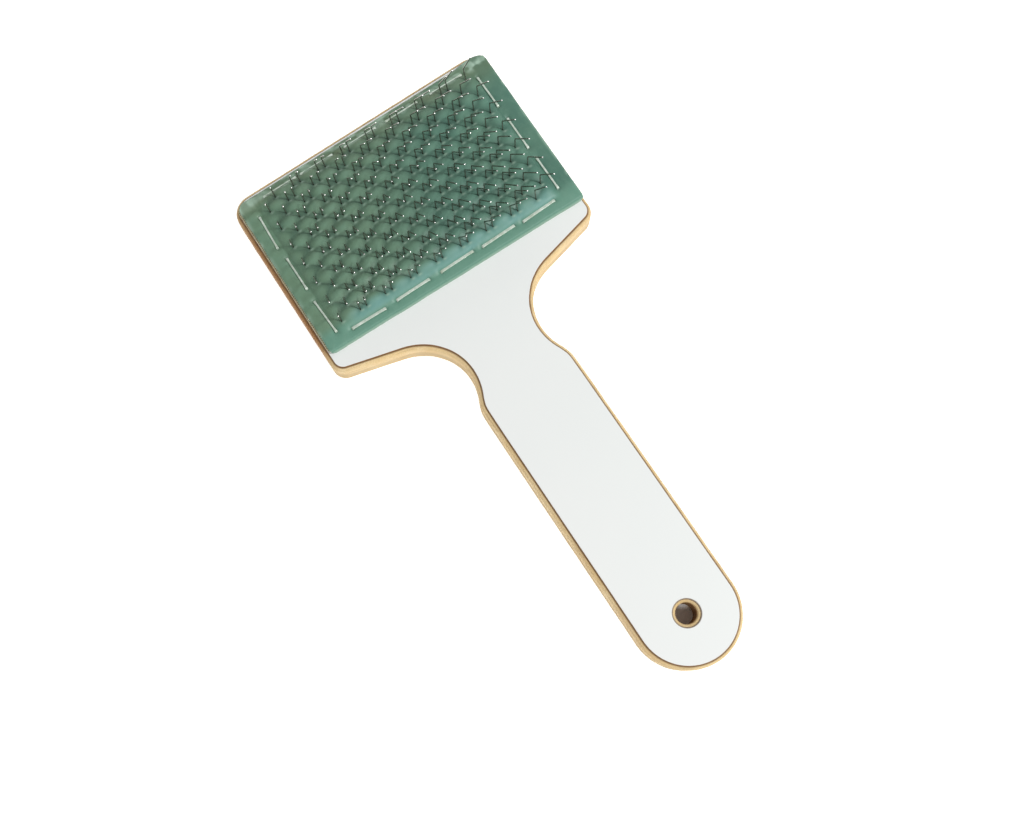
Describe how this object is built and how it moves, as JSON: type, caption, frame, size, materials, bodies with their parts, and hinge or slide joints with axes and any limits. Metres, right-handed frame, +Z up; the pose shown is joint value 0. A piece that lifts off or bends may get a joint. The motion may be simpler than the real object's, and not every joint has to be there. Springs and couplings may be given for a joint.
{
  "type": "slicker brush",
  "caption": "Flat paddle pet slicker brush: white laminated fibreboard with a hanging hole, and a stapled, cushioned teal rubber pad of bent steel wire pins that flex.",
  "frame": {"origin": "under the middle of the brush's bounding box, on the plane of the flat back", "axes": "+X across the head, +Y from the hanging hole towards the head's far edge, +Z up from the back through the tips of the pins"},
  "size_m": [0.0964, 0.2021, 0.0263],
  "materials": {
    "board_core": "routed and sanded fibreboard, darker scorched line along the laminate",
    "white_laminate": "smooth satin white",
    "foam": "open-cell foam",
    "card_cloth": "woven cotton backing",
    "teal_rubber": "glossy, dimpled at each pin",
    "pin_wire": "drawn wire with cut bright tips",
    "staple_wire": "galvanised flat wire"
  },
  "bodies": {
    "brush": {"board_core": "board_core", "front_laminate": "white_laminate", "back_laminate": "white_laminate", "foam_cushion": "foam", "card_foundation": "card_cloth", "rubber_face": "teal_rubber", "staple_left_1": "staple_wire", "staple_left_2": "staple_wire", "staple_left_3": "staple_wire", "staple_right_1": "staple_wire", "staple_right_2": "staple_wire", "staple_right_3": "staple_wire", "staple_top_1": "staple_wire", "staple_top_2": "staple_wire", "staple_top_3": "staple_wire", "staple_top_4": "staple_wire", "staple_top_5": "staple_wire", "staple_bottom_1": "staple_wire", "staple_bottom_2": "staple_wire", "staple_bottom_3": "staple_wire", "staple_bottom_4": "staple_wire", "staple_bottom_5": "staple_wire"},
    "pins_01": {"pin_row_01": "pin_wire"},
    "pins_02": {"pin_row_02": "pin_wire"},
    "pins_03": {"pin_row_03": "pin_wire"},
    "pins_04": {"pin_row_04": "pin_wire"},
    "pins_05": {"pin_row_05": "pin_wire"},
    "pins_06": {"pin_row_06": "pin_wire"},
    "pins_07": {"pin_row_07": "pin_wire"},
    "pins_08": {"pin_row_08": "pin_wire"},
    "pins_09": {"pin_row_09": "pin_wire"},
    "pins_10": {"pin_row_10": "pin_wire"},
    "pins_11": {"pin_row_11": "pin_wire"},
    "pins_12": {"pin_row_12": "pin_wire"},
    "pins_13": {"pin_row_13": "pin_wire"},
    "pins_14": {"pin_row_14": "pin_wire"}
  },
  "joints": [
    {"name": "pin_flex_01", "type": "hinge", "parent": "brush", "child": "pins_01", "pos_m": [0, 0.09337, 0.01039], "axis": [1, 0, 0], "range_deg": [-4, 4], "stiffness_Nm_per_rad": 0.15},
    {"name": "pin_flex_02", "type": "hinge", "parent": "brush", "child": "pins_02", "pos_m": [0, 0.09016, 0.01084], "axis": [1, 0, 0], "range_deg": [-4, 4], "stiffness_Nm_per_rad": 0.15},
    {"name": "pin_flex_03", "type": "hinge", "parent": "brush", "child": "pins_03", "pos_m": [0, 0.0866, 0.01116], "axis": [1, 0, 0], "range_deg": [-4, 4], "stiffness_Nm_per_rad": 0.15},
    {"name": "pin_flex_04", "type": "hinge", "parent": "brush", "child": "pins_04", "pos_m": [0, 0.08306, 0.01132], "axis": [1, 0, 0], "range_deg": [-4, 4], "stiffness_Nm_per_rad": 0.15},
    {"name": "pin_flex_05", "type": "hinge", "parent": "brush", "child": "pins_05", "pos_m": [0, 0.07948, 0.01139], "axis": [1, 0, 0], "range_deg": [-4, 4], "stiffness_Nm_per_rad": 0.15},
    {"name": "pin_flex_06", "type": "hinge", "parent": "brush", "child": "pins_06", "pos_m": [0, 0.07593, 0.0114], "axis": [1, 0, 0], "range_deg": [-4, 4], "stiffness_Nm_per_rad": 0.15},
    {"name": "pin_flex_07", "type": "hinge", "parent": "brush", "child": "pins_07", "pos_m": [0, 0.07237, 0.0114], "axis": [1, 0, 0], "range_deg": [-4, 4], "stiffness_Nm_per_rad": 0.15},
    {"name": "pin_flex_08", "type": "hinge", "parent": "brush", "child": "pins_08", "pos_m": [0, 0.06879, 0.0114], "axis": [1, 0, 0], "range_deg": [-4, 4], "stiffness_Nm_per_rad": 0.15},
    {"name": "pin_flex_09", "type": "hinge", "parent": "brush", "child": "pins_09", "pos_m": [0, 0.06521, 0.0114], "axis": [1, 0, 0], "range_deg": [-4, 4], "stiffness_Nm_per_rad": 0.15},
    {"name": "pin_flex_10", "type": "hinge", "parent": "brush", "child": "pins_10", "pos_m": [0, 0.06161, 0.01137], "axis": [1, 0, 0], "range_deg": [-4, 4], "stiffness_Nm_per_rad": 0.15},
    {"name": "pin_flex_11", "type": "hinge", "parent": "brush", "child": "pins_11", "pos_m": [0, 0.05801, 0.0113], "axis": [1, 0, 0], "range_deg": [-4, 4], "stiffness_Nm_per_rad": 0.15},
    {"name": "pin_flex_12", "type": "hinge", "parent": "brush", "child": "pins_12", "pos_m": [0, 0.05441, 0.01113], "axis": [1, 0, 0], "range_deg": [-4, 4], "stiffness_Nm_per_rad": 0.15},
    {"name": "pin_flex_13", "type": "hinge", "parent": "brush", "child": "pins_13", "pos_m": [0, 0.05071, 0.01082], "axis": [1, 0, 0], "range_deg": [-4, 4], "stiffness_Nm_per_rad": 0.15},
    {"name": "pin_flex_14", "type": "hinge", "parent": "brush", "child": "pins_14", "pos_m": [0, 0.04685, 0.0103], "axis": [1, 0, 0], "range_deg": [-4, 4], "stiffness_Nm_per_rad": 0.15}
  ]
}
